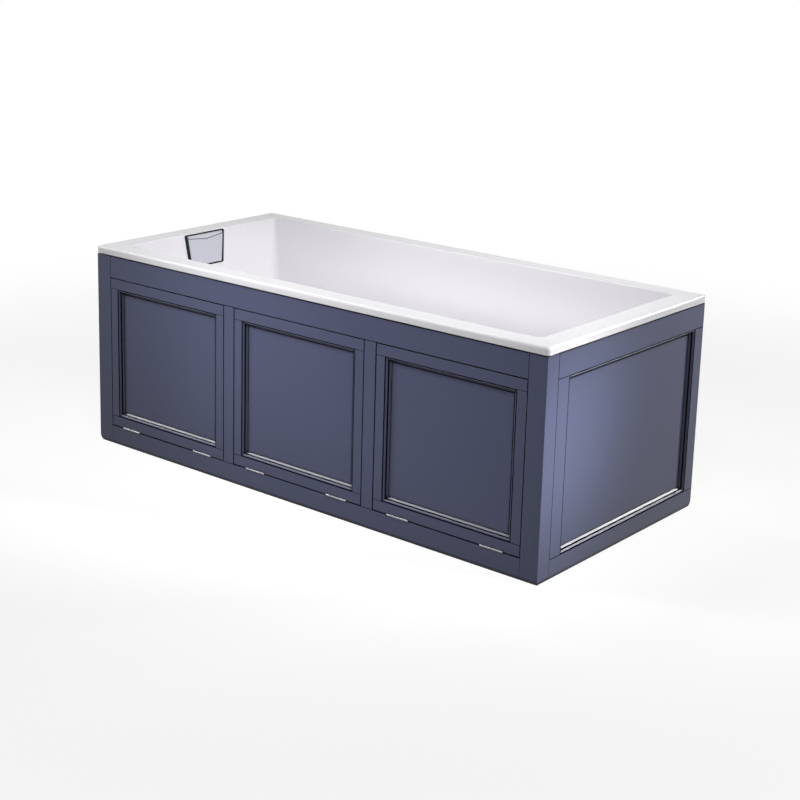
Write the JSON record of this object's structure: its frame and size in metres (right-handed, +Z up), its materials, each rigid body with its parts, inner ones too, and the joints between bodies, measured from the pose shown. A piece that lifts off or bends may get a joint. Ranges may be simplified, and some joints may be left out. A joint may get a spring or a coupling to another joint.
{
  "type": "bathtub",
  "caption": "Straight acrylic bathtub with a shaker front, drop-down storage doors, a panelled end, a headrest and a click waste.",
  "frame": {"origin": "on the floor under the middle of the rim", "axes": "+Z up, +X to the panelled foot end, -Y to the doors"},
  "size_m": [1.6, 0.75, 0.6],
  "materials": {
    "white_acrylic": "gloss",
    "blue_paint": "satin paint on fibreboard",
    "raw_board": "resin-coated chipboard",
    "raw_batten": "sawn softwood",
    "shelf_board": "melamine-faced board",
    "zinc_steel": "zinc plated",
    "hinge_steel": "nickel plated",
    "chrome": "polished",
    "white_plastic": "moulded",
    "grey_plastic": "moulded",
    "black_plastic": "moulded",
    "rubber": "moulded",
    "headrest_black": "moulded",
    "headrest_silver": "self-skinned polyurethane foam"
  },
  "bodies": {
    "root": {"tub_shell": "white_acrylic", "baseboard": "raw_board", "rim_batten_front": "raw_batten", "rim_batten_foot": "raw_batten", "rim_batten_back": "raw_batten", "cradle_channel_head": "zinc_steel", "cradle_channel_foot": "zinc_steel", "centre_foot_bracket": "zinc_steel", "foot_studs": "zinc_steel", "foot_lock_nuts": "zinc_steel", "foot_pads": "black_plastic", "wall_brackets": "zinc_steel", "waste_flange": "chrome", "waste_washers": "rubber", "waste_body": "white_plastic", "overflow_cover": "chrome", "overflow_washer": "rubber", "overflow_elbow": "white_plastic", "overflow_pipe": "white_plastic", "headrest_base": "headrest_black", "headrest_pad": "headrest_silver", "front_stile": "blue_paint", "corner_post": "blue_paint", "front_rail_top": "blue_paint", "front_rail_bottom": "blue_paint", "front_mullion_1": "blue_paint", "front_mullion_2": "blue_paint", "end_rail_top": "blue_paint", "end_rail_bottom": "blue_paint", "end_stiles": "blue_paint", "end_infill": "blue_paint", "end_moulding": "blue_paint", "plinth_batten_front": "raw_batten", "plinth_batten_end": "raw_batten", "storage_floor": "shelf_board", "storage_dividers": "shelf_board", "latch_housings": "black_plastic", "frame_hinge_leaves": "hinge_steel", "hinge_pins": "hinge_steel"},
    "door_1": {"door_1_rails": "blue_paint", "door_1_stiles": "blue_paint", "door_1_infill": "blue_paint", "door_1_moulding": "blue_paint", "door_1_hinge_leaves": "hinge_steel"},
    "door_2": {"door_2_rails": "blue_paint", "door_2_stiles": "blue_paint", "door_2_infill": "blue_paint", "door_2_moulding": "blue_paint", "door_2_hinge_leaves": "hinge_steel"},
    "door_3": {"door_3_rails": "blue_paint", "door_3_stiles": "blue_paint", "door_3_infill": "blue_paint", "door_3_moulding": "blue_paint", "door_3_hinge_leaves": "hinge_steel"},
    "latch_1": {"latch_plunger_1": "grey_plastic"},
    "latch_2": {"latch_plunger_2": "grey_plastic"},
    "latch_3": {"latch_plunger_3": "grey_plastic"},
    "plug": {"waste_plug": "chrome", "plug_seal": "rubber"}
  },
  "joints": [
    {"name": "door_1_hinge", "type": "hinge", "parent": "root", "child": "door_1", "pos_m": [-0.509, -0.372, 0.05725], "axis": [1, 0, 0], "range_deg": [0, 97]},
    {"name": "door_2_hinge", "type": "hinge", "parent": "root", "child": "door_2", "pos_m": [0, -0.372, 0.05725], "axis": [1, 0, 0], "range_deg": [0, 97]},
    {"name": "door_3_hinge", "type": "hinge", "parent": "root", "child": "door_3", "pos_m": [0.509, -0.372, 0.05725], "axis": [1, 0, 0], "range_deg": [0, 97]},
    {"name": "latch_1_press", "type": "slide", "parent": "root", "child": "latch_1", "axis": [0, 1, 0], "range_m": [0, 0.0035], "stiffness_N_per_m": 400, "springref_m": -0.003},
    {"name": "latch_2_press", "type": "slide", "parent": "root", "child": "latch_2", "axis": [0, 1, 0], "range_m": [0, 0.0035], "stiffness_N_per_m": 400, "springref_m": -0.003},
    {"name": "latch_3_press", "type": "slide", "parent": "root", "child": "latch_3", "axis": [0, 1, 0], "range_m": [0, 0.0035], "stiffness_N_per_m": 400, "springref_m": -0.003},
    {"name": "plug_press", "type": "slide", "parent": "root", "child": "plug", "axis": [0, 0, -1], "range_m": [0, 0.0077], "stiffness_N_per_m": 700, "springref_m": -0.006}
  ]
}
